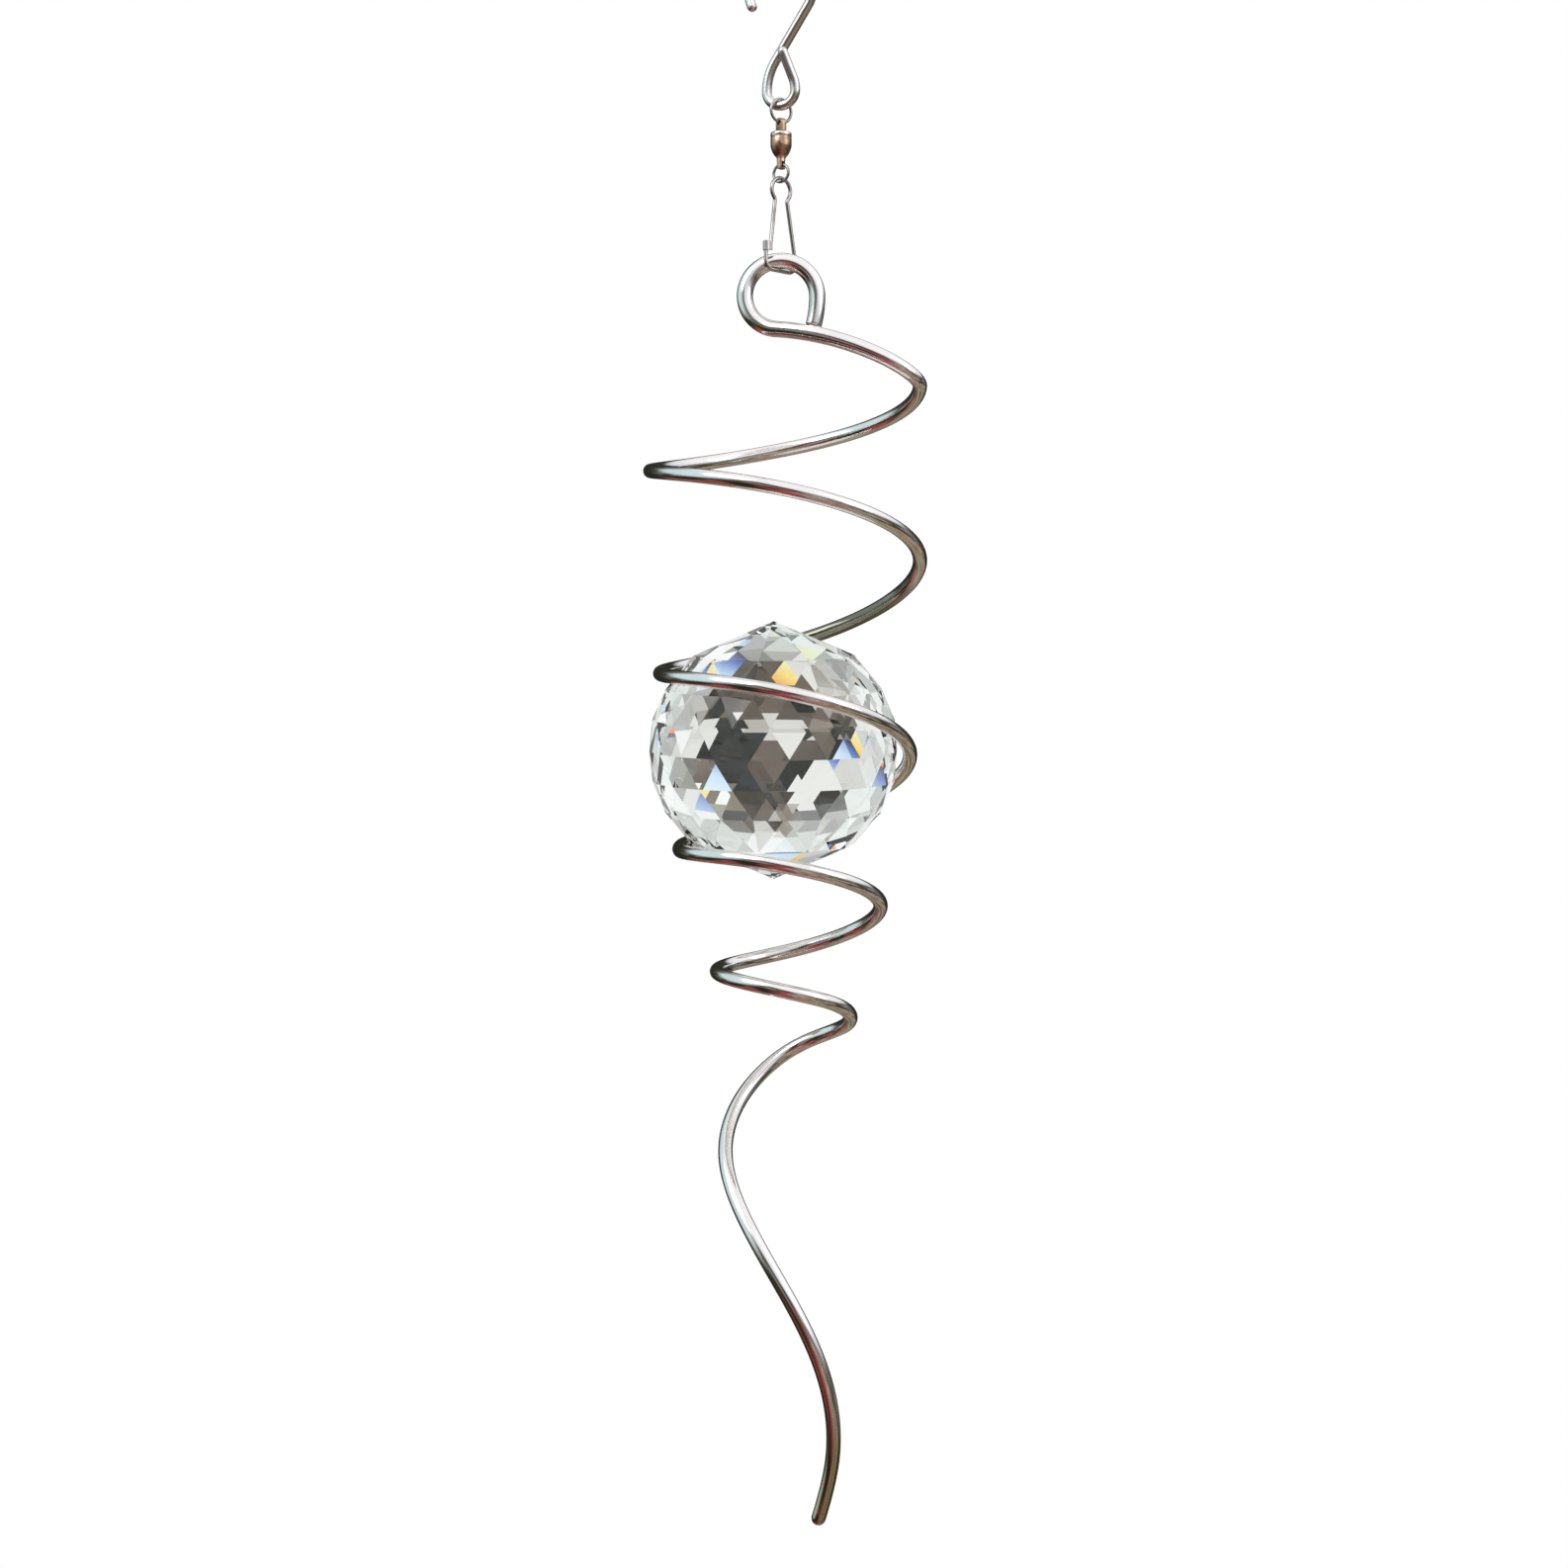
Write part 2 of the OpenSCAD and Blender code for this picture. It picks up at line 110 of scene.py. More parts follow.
def map_range(nodes, links, value, low, high, to_low, to_high):
    node = nodes.new("ShaderNodeMapRange")
    for key, number in (("From Min", low), ("From Max", high), ("To Min", to_low), ("To Max", to_high)):
        node.inputs[key].default_value = number
    links.new(value, node.inputs["Value"])
    return node.outputs["Result"]


def add(nodes, links, a, b):
    node = nodes.new("ShaderNodeMath")
    node.operation = "ADD"
    links.new(a, node.inputs[0])
    links.new(b, node.inputs[1])
    return node.outputs[0]


def mix(nodes, links, factor, a, b):
    """Blends two colours. Each of the three is a number, a colour or another node's output."""
    node = nodes.new("ShaderNodeMix")
    node.data_type = "RGBA"
    for value, socket in ((factor, node.inputs[0]), (a, node.inputs[6]), (b, node.inputs[7])):
        if isinstance(value, (int, float)):
            socket.default_value = value
        elif isinstance(value, tuple):
            socket.default_value = (*value, 1)
        else:
            links.new(value, socket)
    return node.outputs[2]


def bumped(nodes, links, shader, height, strength, distance):
    node = nodes.new("ShaderNodeBump")
    node.inputs["Strength"].default_value = strength
    node.inputs["Distance"].default_value = distance
    links.new(height, node.inputs["Height"])
    links.new(node.outputs["Normal"], shader.inputs["Normal"])


def wire_metal(name, light, dark, rough_low, rough_high, streak, tarnish=None, painted_patches=()):
    """Drawn and polished wire: faint die lines along it, soft smudges and a little staining. Each painted
    patch is a place and a radius, in metres, and the colour painted over the metal there."""
    mat, nodes, links, shader = node_material(name)
    place = nodes.new("ShaderNodeTexCoord")
    uv = nodes.new("ShaderNodeUVMap")
    uv.uv_map = "along_wire"
    smudge = noise(nodes, links, place.outputs["Object"], 70, 4)
    fine = noise(nodes, links, place.outputs["Object"], 900, 3)
    lines = noise(nodes, links, uv.outputs["UV"], 3.0, 4, 0.7, (1.0, 30.0, 1.0))
    colour = ramp(nodes, links, smudge, [(0.35, dark), (0.65, light)])
    if tarnish:
        stain = noise(nodes, links, place.outputs["Object"], 160, 5, 0.65)
        amount = map_range(nodes, links, stain, 0.56, 0.72, 0.0, 0.75)
        colour = mix(nodes, links, amount, colour, tarnish)
    # Each painted patch lays its colour over the metal round a place, fading out towards its radius; the
    # spiral uses this for painted shade
    for at, radius, painted_colour in painted_patches:
        away = nodes.new("ShaderNodeVectorMath")
        away.operation = "DISTANCE"
        away.inputs[1].default_value = at
        links.new(place.outputs["Object"], away.inputs[0])
        amount = map_range(nodes, links, away.outputs["Value"], 0.45 * radius, radius, 0.9, 0.0)
        colour = mix(nodes, links, amount, colour, painted_colour)
    links.new(colour, shader.inputs["Base Color"])
    links.new(map_range(nodes, links, add(nodes, links, smudge, lines), 0.7, 1.3, rough_low, rough_high),
              shader.inputs["Roughness"])
    height = nodes.new("ShaderNodeMath")
    height.operation = "MULTIPLY_ADD"
    height.inputs[1].default_value = 0.15
    links.new(fine, height.inputs[0])
    links.new(lines, height.inputs[2])
    bumped(nodes, links, shader, height.outputs[0], streak, 0.04 * MM)
    shader.inputs["Metallic"].default_value = 1.0
    return mat


def turned_metal(name, light, dark, rough_low, rough_high, grime):
    """Plated turned metal: fine rings round its axis, worn plating and grime in random patches."""
    mat, nodes, links, shader = node_material(name)
    place = nodes.new("ShaderNodeTexCoord")
    wear = noise(nodes, links, place.outputs["Object"], 380, 5, 0.6)
    rings = noise(nodes, links, place.outputs["Object"], 60, 2, 0.5, (1, 1, 90))
    colour = ramp(nodes, links, wear, [(0.30, grime), (0.46, dark), (0.66, light)])
    links.new(colour, shader.inputs["Base Color"])
    links.new(map_range(nodes, links, wear, 0.3, 0.7, rough_high, rough_low), shader.inputs["Roughness"])
    bumped(nodes, links, shader, rings, 0.12, 0.08 * MM)
    shader.inputs["Metallic"].default_value = 1.0
    return mat


hook_steel = wire_metal("hook_steel", (0.86, 0.85, 0.83), (0.66, 0.63, 0.60), 0.16, 0.34, 0.10,
                        tarnish=(0.30, 0.20, 0.15))
ring_steel = wire_metal("ring_steel", (0.50, 0.49, 0.48), (0.28, 0.265, 0.25), 0.18, 0.36, 0.08)
snap_steel = wire_metal("snap_steel", (0.55, 0.52, 0.49), (0.32, 0.29, 0.27), 0.14, 0.30, 0.08,
                        tarnish=(0.26, 0.18, 0.14))
swivel_brass = turned_metal("swivel_brass", (0.68, 0.46, 0.32), (0.42, 0.26, 0.17), 0.20, 0.40,
                            grime=(0.13, 0.07, 0.05))
cap_nickel = turned_metal("cap_nickel", (0.92, 0.89, 0.84), (0.80, 0.72, 0.62), 0.12, 0.28,
                          grime=(0.42, 0.30, 0.20))
bearing_steel = turned_metal("bearing_steel", (0.90, 0.90, 0.90), (0.80, 0.80, 0.80), 0.06, 0.14,
                             grime=(0.5, 0.5, 0.5))


def cut_glass():
    """Clear cut crystal with a trace of green, polished flat on every facet."""
    mat, nodes, links, shader = node_material("crystal")
    place = nodes.new("ShaderNodeTexCoord")
    tint = noise(nodes, links, place.outputs["Object"], 30, 2)
    colour = ramp(nodes, links, tint, [(0.3, (0.965, 0.980, 0.972)), (0.7, (0.985, 0.99, 0.987))])
    links.new(colour, shader.inputs["Base Color"])
    shader.inputs["Transmission Weight"].default_value = 1.0
    shader.inputs["IOR"].default_value = 1.48
    shader.inputs["Roughness"].default_value = 0.0
    return mat


crystal = cut_glass()


# ---------------------------------------------------------------- wires

def arc(centre, radius, start, end, step=0.3):
    """Points (u, z) along a circle in a wire's own plane, without the last one."""
    count = max(3, int(abs(math.radians(end - start)) * radius / step))
    return [(centre[0] + radius * cosd(start + (end - start) * i / count),
             centre[1] + radius * sind(start + (end - start) * i / count)) for i in range(count)]


def line(a, b, step=0.5):
    count = max(2, int(math.dist(a, b) / step))
    return [(a[0] + (b[0] - a[0]) * i / count, a[1] + (b[1] - a[1]) * i / count) for i in range(count)]


def stand(points, yaw, at=(0, 0, 0)):
    """Turns plane points (u, z) to a yaw about Z and moves them."""
    return [Vector((at[0] + u * cosd(yaw), at[1] + u * sind(yaw), at[2] + z)) for u, z in points]


def sweep(name, path, radius, material, sides=24, start="round", end="round", closed=False):
    """A round wire along a path, with round, cut or bare (open) ends. radius is one number, or one for
    each point."""
    count = len(path)
    radii = [radius] * count if isinstance(radius, (int, float)) else list(radius)
    if closed:
        heads = [(path[(i + 1) % count] - path[i - 1]).normalized() for i in range(count)]
    else:
        heads = [(path[min(i + 1, count - 1)] - path[max(i - 1, 0)]).normalized() for i in range(count)]
    hoops = [(path[i], heads[i], radii[i]) for i in range(count)]
    first, last = hoops[0], hoops[-1]
    round_angles = [20, 38, 54, 68, 80]
    # A cut end steps in and out along the wire over a worn edge: (how far out, how much thinner)
    worn_edge = [(0.22, 0.34), (0.20, 0.22), (0.10, 0.05)]
    if start == "round":
        hoops[:0] = [(first[0] - first[1] * first[2] * sind(a), first[1], first[2] * cosd(a))
                     for a in reversed(round_angles)]
    if start == "cut":
        hoops[:0] = [(first[0] - first[1] * out, first[1], first[2] - thinner) for out, thinner in worn_edge]
    if end == "round":
        hoops += [(last[0] + last[1] * last[2] * sind(a), last[1], last[2] * cosd(a)) for a in round_angles]
    side = Vector((0, 1, 0)) if abs(hoops[0][1].y) < 0.8 else Vector((0, 0, 1))
    verts, along, gone = [], [], 0.0
    for i, (centre, head, r) in enumerate(hoops):
        side = (side - head * side.dot(head)).normalized()
        other = head.cross(side)
        if i:
            gone += (centre - hoops[i - 1][0]).length
        along.append(gone / 10)
        verts += [centre + r * (side * cosd(360 * k / sides) + other * sind(360 * k / sides))
                  for k in range(sides)]
    faces, uvs = [], []
    rows = len(hoops)
    for i in range(rows if closed else rows - 1):
        j = (i + 1) % rows
        for k in range(sides):
            n = (k + 1) % sides
            faces.append((i * sides + k, i * sides + n, j * sides + n, j * sides + k))
            near, far = along[i], along[j] if j else along[i] + 0.03
            uvs.append(((near, k / sides), (near, (k + 1) / sides), (far, (k + 1) / sides), (far, k / sides)))
    if not closed:
        for i, kind, flip in ((0, start, True), (rows - 1, end, False)):
            if kind == "bare":
                continue
            centre, head, r = hoops[i]
            tip = len(verts)
            push = r * 0.17 if kind == "round" else 0.0
            verts.append(centre + head * (-push if flip else push))
            for k in range(sides):
                n = (k + 1) % sides
                face = (i * sides + n, i * sides + k, tip) if flip else (i * sides + k, i * sides + n, tip)
                faces.append(face)
                uvs.append(((along[i], k / sides), (along[i], (k + 1) / sides),
                            (along[i], (k + 0.5) / sides)))
    return add_mesh(name, verts, faces, material, uvs=uvs)


# ---------------------------------------------------------------- the spiral

# Radii of the wires
HOOK_WIRE, RING_WIRE, SNAP_WIRE, LOOP_WIRE, COIL_WIRE = 1.0, 0.3, 0.4, 1.65, 1.45

# The hook: the eye's foot, its sides, the crook and the shank's lean in degrees
EYE_R, SIDE_R, CROOK_R, LEAN = 3.1, 11.6, 7.0, 33
HOOK_YAW = -22
FOOT_U, FOOT_Z = SIDE_R * (1 - cosd(LEAN)) - EYE_R, SIDE_R * sind(LEAN)
SHANK = (CROOK_R * cosd(LEAN) - FOOT_U) / sind(LEAN)
CROOK_UP = FOOT_Z + SHANK * cosd(LEAN) + CROOK_R * sind(LEAN)

# Centreline radii of the rings and the snap's eye, and lengths of the swivel, the snap and the cage
UPPER_RING_R, LOWER_RING_R, SNAP_EYE_R, LOOP_R = 2.45, 1.8, 2.5, 7.3
CAP_H, BODY_LEN, SNAP_LEN = 1.1, 4.4, 16.8
LOOP_TO_BALL = 93.5

# The chain of heights from the hook down, as each piece hangs on the one above with a little play
HANG = 0.08
EYE_Z = -(CROOK_UP + CROOK_R - HOOK_WIRE)
UPPER_RING_Z = EYE_Z - EYE_R + HOOK_WIRE + RING_WIRE + HANG - UPPER_RING_R
UPPER_HOLE_Z = UPPER_RING_Z - UPPER_RING_R
CAP_TOP = UPPER_HOLE_Z - 1.9
BODY_TOP = CAP_TOP - CAP_H
BODY_FOOT = BODY_TOP - BODY_LEN
LOWER_HOLE_Z = BODY_FOOT - 1.3
LOWER_RING_Z = LOWER_HOLE_Z - LOWER_RING_R
SNAP_Z = LOWER_RING_Z - LOWER_RING_R + RING_WIRE + SNAP_WIRE + HANG - SNAP_EYE_R
LOOP_Z = SNAP_Z - SNAP_LEN + SNAP_WIRE + HANG + LOOP_WIRE - LOOP_R
COIL_Z = LOOP_Z - LOOP_TO_BALL

# The top loop's turn in degrees, how far it drifts back and sweeps forward, and its end leg's radius
LOOP_START, LOOP_END = -46, 262.5
LOOP_BACK, LOOP_SWEEP, END_LEG_R = 0.9, 1.6, 24
# Headings, with their strengths, of the lead from the loop down to the coil
LEAD_OUT, LEAD_IN = (46, -15, -6), 22
COIL_AXIS_X = 0.8

# The coil's stations, as in the design: turns, radius, height above the cage's middle
STATIONS = [(0.00, 27.2, 75.0), (0.25, 27.2, 67.5), (0.50, 27.1, 57.6), (1.00, 27.1, 39.0),
            (1.25, 26.4, 26.8), (1.50, 25.0, 16.3), (1.75, 26.0, 8.0), (2.00, 25.0, -0.5),
            (2.25, 25.4, -10.2), (2.40, 23.4, -15.8), (2.50, 20.9, -19.6), (2.75, 19.6, -25.6),
            (3.00, 19.0, -31.1), (3.25, 16.4, -37.8), (3.50, 13.5, -44.0), (3.75, 13.2, -49.6),
            (4.00, 13.0, -53.2), (4.25, 12.7, -58.8), (4.50, 11.8, -80.5), (4.75, 10.6, -108.8),
            (5.00, 9.5, -138.8), (5.10, 8.2, -152.0)]


def hermite(u, p0, d0, p1, d1):
    return ((2 * u**3 - 3 * u**2 + 1) * p0 + (u**3 - 2 * u**2 + u) * d0
            + (3 * u**2 - 2 * u**3) * p1 + (u**3 - u**2) * d1)


def station_slope(i, k):
    a, b = STATIONS[max(i - 1, 0)], STATIONS[min(i + 1, len(STATIONS) - 1)]
    return (b[k] - a[k]) / (b[0] - a[0])


def along_stations(t, k):
    i = max(j for j in range(len(STATIONS) - 1) if j == 0 or t >= STATIONS[j][0])
    wide = STATIONS[i + 1][0] - STATIONS[i][0]
    return hermite((t - STATIONS[i][0]) / wide, STATIONS[i][k], wide * station_slope(i, k),
                   STATIONS[i + 1][k], wide * station_slope(i + 1, k))


def coil_point(t):
    r = along_stations(t, 1)
    return Vector((COIL_AXIS_X + r * cosd(360 * t), r * sind(360 * t), COIL_Z + along_stations(t, 2)))


def loop_point(a):
    """The top loop at an angle: it drifts forward round its turn, sweeps further forward into the lead,
    and its cut end comes down straighter than the loop, behind the lead."""
    y = (LOOP_BACK * (90 - a) / (LOOP_END - LOOP_START)
         - LOOP_SWEEP * (max(0, a - 180) / (LOOP_END - 180)) ** 2)
    if a < 0:
        lean = a * LOOP_R / END_LEG_R
        return Vector((LOOP_R - END_LEG_R * (1 - cosd(lean)), y, LOOP_Z + END_LEG_R * sind(lean)))
    return Vector((LOOP_R * cosd(a), y, LOOP_Z + LOOP_R * sind(a)))


def spiral_path():
    """The wire's centreline and its radius at each point, from the loop's cut end to the tail."""
    steps = 130
    path = [(loop_point(LOOP_START + (LOOP_END - LOOP_START) * i / steps), LOOP_WIRE) for i in range(steps)]
    foot, head = loop_point(LOOP_END), coil_point(0)
    heading = (coil_point(0.001) - head).normalized()
    steps = 64
    path += [(hermite(i / steps, foot, Vector(LEAD_OUT), head, LEAD_IN * heading),
              LOOP_WIRE - (LOOP_WIRE - COIL_WIRE) * i / steps) for i in range(steps)]
    steps = 620
    path += [(coil_point(STATIONS[-1][0] * i / steps), COIL_WIRE) for i in range(steps + 1)]
    return [point for point, radius in path], [radius for point, radius in path]


# Painted shade: the strand behind the ball's top is painted dark olive for the dark reflection it shows, and
# the tail's end is painted darker and yellower
spiral_steel = wire_metal("spiral_steel", (0.94, 0.915, 0.895), (0.82, 0.785, 0.765), 0.08, 0.19, 0.05,
                          painted_patches=[((0.0145, 0.0225, (COIL_Z + 31) * MM), 0.021, (0.15, 0.145, 0.09)),
                                  ((0.010, 0.0, (COIL_Z - 151) * MM), 0.024, (0.44, 0.38, 0.24))])
spiral_points, spiral_radii = spiral_path()
spiral = sweep("spiral", spiral_points, spiral_radii, spiral_steel, sides=28, start="cut")
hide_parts("spiral_wire")
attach(spiral, "spiral")


# ---------------------------------------------------------------- the ball

def crystal_ball():
    """Cut ball: belts of triangles between rings of corners, and a point at each pole."""
    centre = Vector((-1.5, 0.6, COIL_Z + 0.8))
    turn = Matrix.Rotation(math.radians(14), 3, "X")
    radius, point_height, first_corner = 25.0, 25.9, -100.5
    n, step = 20, 18.0
    lats = (0.0, 14.4, 29.2, 49.5)

    def corner(lat, around):
        return Vector((cosd(lat) * cosd(first_corner + around), cosd(lat) * sind(first_corner + around),
                       sind(lat))) * radius

    def belt(b, sign):
        return [corner(sign * lats[b], step * (k + (b % 2) / 2)) for k in range(n)]

    def crown(sign):
        return [corner(sign * lats[3], 2 * step * j) for j in range(n // 2)]

    verts = belt(0, 1)
    faces = []
    for sign in (1, -1):
        mid = len(verts)
        verts += belt(1, sign)
        top = len(verts)
        verts += belt(2, sign)
        ends = len(verts)
        verts += crown(sign)
        tip = len(verts)
        verts.append(Vector((0, 0, sign * point_height)))
        half = []
        for k in range(n):
            m = (k + 1) % n
            half += [(mid + k, k, m), (mid + k, m, mid + m),
                     (top + k, mid + k, top + m), (top + m, mid + k, mid + m)]
        for j in range(n // 2):
            m = (j + 1) % (n // 2)
            here = top + 2 * j
            half += [(ends + j, top + (2 * j + n - 1) % n, here), (ends + j, here, here + 1),
                     (ends + j, here + 1, ends + m), (tip, ends + j, ends + m)]
        faces += half if sign == 1 else [f[::-1] for f in half]
    return add_mesh("ball", [centre + turn @ v for v in verts], faces, crystal, smooth=False)


ball = crystal_ball()
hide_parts("crystal_ball")
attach(ball, "ball")


# ---------------------------------------------------------------- the hook

def hook_path():
    """From the crook's tip down the shank, round the eye and up its closing leg, which leans in."""
    shank_top = (CROOK_R * cosd(LEAN), CROOK_UP - CROOK_R * sind(LEAN))
    plane = (arc((0, CROOK_UP), CROOK_R, 205, -LEAN) + line(shank_top, (FOOT_U, FOOT_Z))
             + arc((SIDE_R - EYE_R, 0), SIDE_R, 180 - LEAN, 180) + arc((0, 0), EYE_R, 180, 360))
    path = stand(plane, HOOK_YAW, (0, 0, EYE_Z))
    bend_r, lean, length = 6.0, 23, 5.8
    bend_top = (-bend_r * (1 - cosd(lean)), bend_r * sind(lean))
    tip = (bend_top[0] - length * sind(lean), bend_top[1] + length * cosd(lean))
    leg = arc((-bend_r, 0), bend_r, 0, lean) + line(bend_top, tip) + [tip]
    return path + stand(leg, -HOOK_YAW, (EYE_R * cosd(HOOK_YAW), EYE_R * sind(HOOK_YAW), EYE_Z))


hook = sweep("hook", hook_path(), HOOK_WIRE, hook_steel, sides=28)
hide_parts("hanger_hook")
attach(hook, "hook")


# ---------------------------------------------------------------- rings and swivel

def ring(name, radius, z, yaw, body, node):
    count = 96
    loop = stand([(radius * cosd(360 * i / count), radius * sind(360 * i / count)) for i in range(count)],
                 yaw, (0, 0, z))
    obj = sweep(name, loop, RING_WIRE, ring_steel, sides=20, closed=True)
    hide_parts(node)
    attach(obj, body)


ring("upper_split_ring", UPPER_RING_R, UPPER_RING_Z, 35, "upper_ring", "upper_ring")
ring("lower_split_ring", LOWER_RING_R, LOWER_RING_Z, -35, "lower_ring", "lower_ring")


def finish_mesh(obj, sharp, uv_layer=None):
    """Points the faces outwards and sharpens every edge that bends more than an angle. A named layer
    takes plain coordinates, for the metal's drawn lines."""
    bm = bmesh.new()
    bm.from_mesh(obj.data)
    bmesh.ops.recalc_face_normals(bm, faces=bm.faces)
    for edge in bm.edges:
        edge.smooth = edge.calc_face_angle(0) < math.radians(sharp)
    if uv_layer:
        layer = bm.loops.layers.uv.new(uv_layer)
        for face in bm.faces:
            for loop in face.loops:
                loop[layer].uv = (loop.vert.co.z * 100, loop.vert.co.x * 100)
    bm.to_mesh(obj.data)
    bm.free()


def lathe(name, profile, z, material):
    """A turned piece from its closed outline of (radius, height), all off the axis."""
    segments = 72
    count = len(profile)
    verts = [(r * cosd(360 * i / segments), r * sind(360 * i / segments), z + h)
             for i in range(segments) for r, h in profile]
    faces = []
    for i in range(segments):
        j = (i + 1) % segments
        for k in range(count):
            n = (k + 1) % count
            faces.append((i * count + k, j * count + k, j * count + n, i * count + n))
    obj = add_mesh(name, verts, faces, material)
    finish_mesh(obj, sharp=28)
    return obj


def swivel_body():
    """A barrel that narrows in a soft shoulder to the neck, and is hollow for the stems."""
    outline = [(0.50, -4.4), (0.86, -4.4), (0.96, -4.36), (1.0, -4.29), (1.0, -4.21)]
    outline += [(1.0 + 0.575 * (sind(a) + a / 90), -1.9 - 1.15 * (1 + cosd(a) - a / 90))
                for a in range(6, 91, 6)]
    outline += [(2.15, -0.32), (2.12, -0.24), (2.12, -0.04), (2.08, 0.0), (1.75, 0.0),
                (1.75, -1.9), (1.0, -2.8), (1.0, -3.5), (0.50, -3.5)]
    return lathe("swivel_barrel", outline, BODY_TOP, swivel_brass)


def swivel_cap():
    """A dome pressed over the barrel's mouth, with a hole for the upper stem."""
    outline = [(1.75, 0.0), (2.06, 0.0), (2.12, 0.03), (2.15, 0.09), (2.15, 0.52)]
    outline += [(1.62 + 0.53 * cosd(a), 0.52 + 0.50 * sind(a)) for a in range(9, 90, 9)]
    outline += [(1.50, 1.04), (1.10, 1.07), (0.78, 1.10), (0.70, 1.08), (0.65, 1.02), (0.65, 0.3),
                (1.75, 0.3)]
    return lathe("swivel_dome", outline, BODY_TOP, cap_nickel)


for obj, node, slot in ((swivel_body(), "swivel_body", "swivel_brass"),
                        (swivel_cap(), "swivel_cap", "cap_brass")):
    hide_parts(node)
    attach(obj, "swivel")

# The stems and the bearing's balls are shown as the design draws them
for node, material in (("upper_stem", swivel_brass), ("lower_stem", swivel_brass),
                       ("bearing_balls", bearing_steel)):
    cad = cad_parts[node]
    cad.data.materials.clear()
    cad.data.materials.append(material)


# ---------------------------------------------------------------- the snap

# The snap's plane, where its eye ends in degrees, and the two bends of its neck
SNAP_YAW, EYE_END, NECK_R, NECK_RUN = 42, 215, 1.2, 0.3
# Reach of the foot to each side, and the radii of its two corners
TOE_U, HEEL_U, TOE_R, HEEL_R = 4.1, 3.9, 1.8, 2.0
CATCH_Z = -12.1
GATE_LEAN, GATE_LEN, GATE_BEND = 7.3, 10.05, 3.0
neck_u = (SNAP_EYE_R + NECK_R) * cosd(EYE_END) + NECK_RUN * sind(360 - EYE_END)
neck_z = (SNAP_EYE_R + NECK_R) * sind(EYE_END) - NECK_RUN * cosd(540 - EYE_END)
heel = (HEEL_U - HEEL_R, -SNAP_LEN + HEEL_R)
reach = (heel[0] + neck_u, heel[1] - neck_z)
LEG_LEAN = math.degrees(math.acos(-(HEEL_R + NECK_R) / math.hypot(*reach)) + math.atan2(reach[1], reach[0]))
gate_top = (neck_u + NECK_R * cosd(GATE_LEAN), neck_z - NECK_R * sind(GATE_LEAN))


def stand_snap(points):
    return stand(points, SNAP_YAW, (0, 0, SNAP_Z))


def down_gate(length):
    """A point (u, z) at a length down the springy leg."""
    return (gate_top[0] - length * sind(GATE_LEAN), gate_top[1] - length * cosd(GATE_LEAN))


def snap_path():
    """From the upright's end in the catch, round the foot, up the fixed leg and round the eye to the
    neck."""
    toe = (TOE_R - TOE_U, -SNAP_LEN + TOE_R)
    plane = line((-TOE_U, CATCH_Z + 0.8), (-TOE_U, toe[1]))
    plane += arc(toe, TOE_R, 180, 270, 0.12)
    plane += line((toe[0], -SNAP_LEN), (heel[0], -SNAP_LEN), 0.25)
    plane += arc(heel, HEEL_R, 270, 360 + LEG_LEAN, 0.12)
    leg_foot = (heel[0] + HEEL_R * cosd(LEG_LEAN), heel[1] + HEEL_R * sind(LEG_LEAN))
    leg_head = (-neck_u - NECK_R * cosd(LEG_LEAN), neck_z - NECK_R * sind(LEG_LEAN))
    plane += line(leg_foot, leg_head)
    plane += arc((-neck_u, neck_z), NECK_R, 180 + LEG_LEAN, 360 - EYE_END, 0.08)
    end_u, end_z = SNAP_EYE_R * cosd(EYE_END), SNAP_EYE_R * sind(EYE_END)
    out_u, out_z = end_u + NECK_RUN * sind(360 - EYE_END), end_z - NECK_RUN * cosd(540 - EYE_END)
    plane += line((-out_u, out_z), (-end_u, end_z), 0.15)
    plane += arc((0, 0), SNAP_EYE_R, 180 - EYE_END, EYE_END, 0.12)
    plane += line((end_u, end_z), (out_u, out_z), 0.15)
    plane += arc((neck_u, neck_z), NECK_R, EYE_END - 180, -GATE_LEAN, 0.08)
    return stand_snap(plane + [gate_top])


snap = sweep("snap_wire", snap_path(), SNAP_WIRE, snap_steel, sides=20, end="bare")
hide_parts("snap_frame")
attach(snap, "snap")

# The springy leg is a straight wire down from the neck's end, joined to it there
gate_line = line(gate_top, down_gate(GATE_LEN), 0.2) + [down_gate(GATE_LEN)]
gate = sweep("snap_spring_leg", stand_snap(gate_line), SNAP_WIRE, snap_steel, sides=20, start="bare")
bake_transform(gate)
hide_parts("snap_gate")


